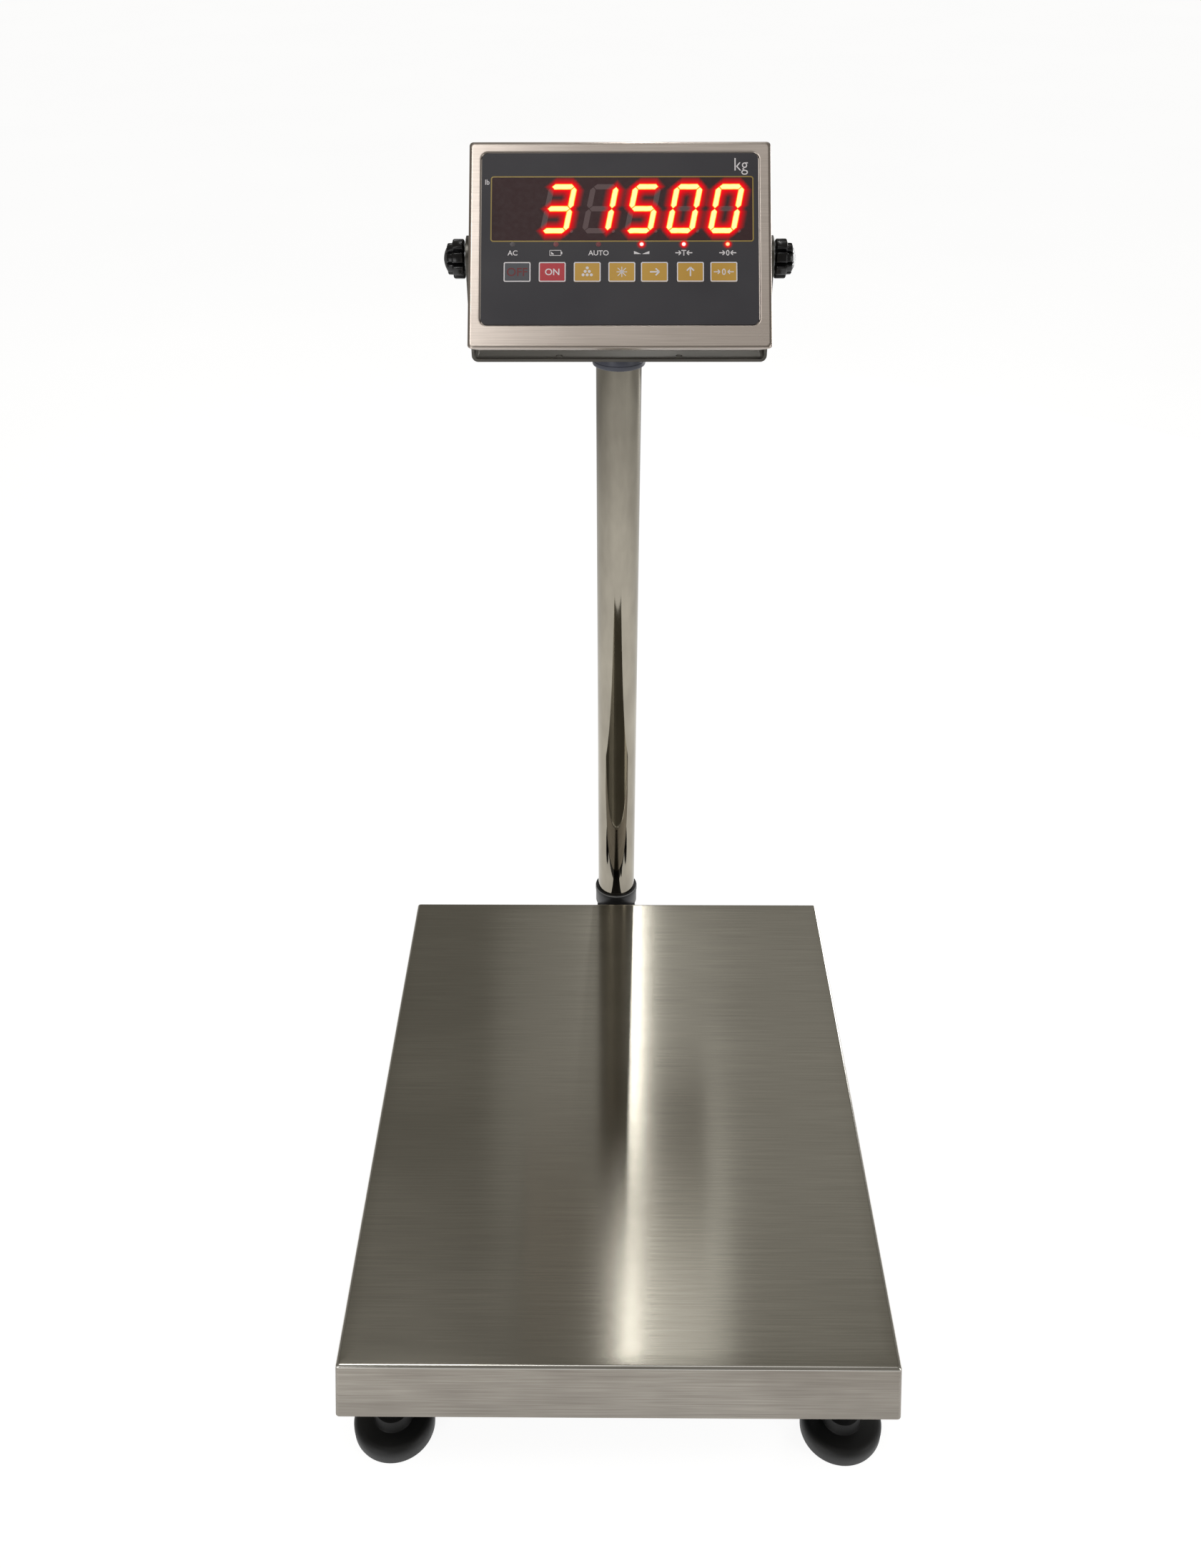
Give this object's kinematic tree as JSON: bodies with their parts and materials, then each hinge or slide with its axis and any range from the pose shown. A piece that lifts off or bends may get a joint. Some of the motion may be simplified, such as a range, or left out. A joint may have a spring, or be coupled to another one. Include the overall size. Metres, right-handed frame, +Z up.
{
  "type": "bench scale",
  "caption": "Platform bench scale with a brushed steel pan on levelling feet, a rear column and a tilting numeric indicator with lit digits and membrane keys.",
  "frame": {"origin": "on the floor, at the centre of the bounding box seen from above", "axes": "+X to the right as seen by the person reading the display, +Y from the front of the pan towards the column, +Z up"},
  "size_m": [0.41, 0.6216, 0.8174],
  "materials": {
    "brushed_pan": "brushed",
    "bumper_rubber": "matte",
    "zinc_frame": "satin",
    "cell_aluminium": "anodised",
    "dark_bolts": "black oxide",
    "zinc_fasteners": "zinc plated",
    "painted_frame": "powder coat",
    "level_plastic": "moulded",
    "level_liquid": "clear green",
    "black_plastic": "moulded",
    "socket_plastic": "moulded",
    "collar_plastic": "moulded",
    "mirror_tube": "polished",
    "brushed_case": "brushed",
    "nylon": "moulded",
    "overlay_film": "fine texture",
    "window_filter": "dark red filter",
    "module_plastic": "moulded",
    "lit_segments": "glowing",
    "unlit_segments": "diffuse",
    "led_lens": "diffuse",
    "circuit_board": "solder mask",
    "switch_plastic": "moulded",
    "battery_case": "moulded",
    "key_grey": "printed film",
    "key_red": "printed film",
    "key_yellow": "printed film",
    "foot_rubber": "moulded",
    "knob_phenolic": "moulded gloss"
  },
  "bodies": {
    "base": {"platter_bumpers": "bumper_rubber", "upper_rails": "zinc_frame", "upper_crosses": "zinc_frame", "upper_plate": "zinc_frame", "load_cell": "cell_aluminium", "load_cell_spacers": "zinc_frame", "load_cell_bolts": "dark_bolts", "overload_stops": "zinc_fasteners", "base_rails": "painted_frame", "base_crosses": "painted_frame", "base_beam": "painted_frame", "foot_plates": "painted_frame", "foot_locknuts": "zinc_fasteners", "level_housing": "level_plastic", "level_vial": "level_liquid", "cable_gland": "black_plastic", "column_arm": "painted_frame", "column_socket": "socket_plastic", "socket_screws": "zinc_fasteners", "column_tube": "mirror_tube", "column_plug": "black_plastic", "upper_collar": "collar_plastic", "head_bracket": "brushed_case", "bracket_screws": "zinc_fasteners"},
    "platter": {"platter": "brushed_pan"},
    "indicator": {"case_shell": "brushed_case", "rear_cover": "brushed_case", "cover_screws": "zinc_fasteners", "pivot_bosses": "zinc_fasteners", "friction_washers": "nylon", "keypad_overlay": "overlay_film", "display_window": "window_filter", "digit_modules": "module_plastic", "segments_lit": "lit_segments", "segments_unlit": "unlit_segments", "status_leds": "led_lens", "display_board": "circuit_board", "key_switches": "switch_plastic", "battery": "battery_case", "main_board": "circuit_board", "head_gland": "black_plastic"},
    "key_off": {"key_off": "key_grey"},
    "key_on": {"key_on": "key_red"},
    "key_count": {"key_count": "key_yellow"},
    "key_star": {"key_star": "key_yellow"},
    "key_shift": {"key_shift": "key_yellow"},
    "key_up": {"key_up": "key_yellow"},
    "key_zero": {"key_zero": "key_yellow"},
    "foot_pad_fl": {"foot_pad_fl": "foot_rubber"},
    "foot_stud_fl": {"foot_stud_fl": "zinc_fasteners"},
    "foot_pad_fr": {"foot_pad_fr": "foot_rubber"},
    "foot_stud_fr": {"foot_stud_fr": "zinc_fasteners"},
    "foot_pad_rl": {"foot_pad_rl": "foot_rubber"},
    "foot_stud_rl": {"foot_stud_rl": "zinc_fasteners"},
    "foot_pad_rr": {"foot_pad_rr": "foot_rubber"},
    "foot_stud_rr": {"foot_stud_rr": "zinc_fasteners"},
    "washer_left": {"knob_washer_left": "zinc_fasteners"},
    "knob_left": {"knob_left": "knob_phenolic"},
    "washer_right": {"knob_washer_right": "zinc_fasteners"},
    "knob_right": {"knob_right": "knob_phenolic"}
  },
  "joints": [
    {"name": "platter_lift", "type": "slide", "parent": "base", "child": "platter", "axis": [0, 0, 1], "range_m": [0, 0.12]},
    {"name": "head_tilt", "type": "hinge", "parent": "base", "child": "indicator", "pos_m": [0, 0.25155, 0.7385], "axis": [1, 0, 0], "range_deg": [-35, 22]},
    {"name": "key_off_press", "type": "slide", "parent": "indicator", "child": "key_off", "axis": [0, 0.7615, -0.6481], "range_m": [0, 0.0003], "stiffness_N_per_m": 2000, "springref_m": -0.0005},
    {"name": "key_on_press", "type": "slide", "parent": "indicator", "child": "key_on", "axis": [0, 0.7615, -0.6481], "range_m": [0, 0.0003], "stiffness_N_per_m": 2000, "springref_m": -0.0005},
    {"name": "key_count_press", "type": "slide", "parent": "indicator", "child": "key_count", "axis": [0, 0.7615, -0.6481], "range_m": [0, 0.0003], "stiffness_N_per_m": 2000, "springref_m": -0.0005},
    {"name": "key_star_press", "type": "slide", "parent": "indicator", "child": "key_star", "axis": [0, 0.7615, -0.6481], "range_m": [0, 0.0003], "stiffness_N_per_m": 2000, "springref_m": -0.0005},
    {"name": "key_shift_press", "type": "slide", "parent": "indicator", "child": "key_shift", "axis": [0, 0.7615, -0.6481], "range_m": [0, 0.0003], "stiffness_N_per_m": 2000, "springref_m": -0.0005},
    {"name": "key_up_press", "type": "slide", "parent": "indicator", "child": "key_up", "axis": [0, 0.7615, -0.6481], "range_m": [0, 0.0003], "stiffness_N_per_m": 2000, "springref_m": -0.0005},
    {"name": "key_zero_press", "type": "slide", "parent": "indicator", "child": "key_zero", "axis": [0, 0.7615, -0.6481], "range_m": [0, 0.0003], "stiffness_N_per_m": 2000, "springref_m": -0.0005},
    {"name": "foot_fl_height", "type": "slide", "parent": "base", "child": "foot_pad_fl", "axis": [0, 0, -1], "range_m": [-0.0045, 0.009]},
    {"name": "foot_fl_turn", "type": "hinge", "parent": "foot_pad_fl", "child": "foot_stud_fl", "pos_m": [-0.1725, -0.27575, 0.03], "axis": [0, 0, -1], "range_deg": [-1085, 2165]},
    {"name": "foot_fr_height", "type": "slide", "parent": "base", "child": "foot_pad_fr", "axis": [0, 0, -1], "range_m": [-0.0045, 0.009]},
    {"name": "foot_fr_turn", "type": "hinge", "parent": "foot_pad_fr", "child": "foot_stud_fr", "pos_m": [0.1725, -0.27575, 0.03], "axis": [0, 0, -1], "range_deg": [-1085, 2165]},
    {"name": "foot_rl_height", "type": "slide", "parent": "base", "child": "foot_pad_rl", "axis": [0, 0, -1], "range_m": [-0.0045, 0.009]},
    {"name": "foot_rl_turn", "type": "hinge", "parent": "foot_pad_rl", "child": "foot_stud_rl", "pos_m": [-0.1725, 0.16425, 0.03], "axis": [0, 0, -1], "range_deg": [-1085, 2165]},
    {"name": "foot_rr_height", "type": "slide", "parent": "base", "child": "foot_pad_rr", "axis": [0, 0, -1], "range_m": [-0.0045, 0.009]},
    {"name": "foot_rr_turn", "type": "hinge", "parent": "foot_pad_rr", "child": "foot_stud_rr", "pos_m": [0.1725, 0.16425, 0.03], "axis": [0, 0, -1], "range_deg": [-1085, 2165]},
    {"name": "knob_left_back_off", "type": "slide", "parent": "indicator", "child": "washer_left", "axis": [-1, 0, 0], "range_m": [0, 0.003]},
    {"name": "knob_left_turn", "type": "hinge", "parent": "washer_left", "child": "knob_left", "pos_m": [-0.1285, 0.25155, 0.7385], "axis": [-1, 0, 0], "range_deg": [-5, 1085]},
    {"name": "knob_right_back_off", "type": "slide", "parent": "indicator", "child": "washer_right", "axis": [1, 0, 0], "range_m": [0, 0.003]},
    {"name": "knob_right_turn", "type": "hinge", "parent": "washer_right", "child": "knob_right", "pos_m": [0.1285, 0.25155, 0.7385], "axis": [1, 0, 0], "range_deg": [-5, 1085]}
  ],
  "couplings": [
    {"joint": "foot_fl_turn", "follows": "foot_fl_height", "rad_per_m": 4188.8},
    {"joint": "foot_fr_turn", "follows": "foot_fr_height", "rad_per_m": 4188.8},
    {"joint": "foot_rl_turn", "follows": "foot_rl_height", "rad_per_m": 4188.8},
    {"joint": "foot_rr_turn", "follows": "foot_rr_height", "rad_per_m": 4188.8},
    {"joint": "knob_left_turn", "follows": "knob_left_back_off", "rad_per_m": 6283.2},
    {"joint": "knob_right_turn", "follows": "knob_right_back_off", "rad_per_m": 6283.2}
  ]
}
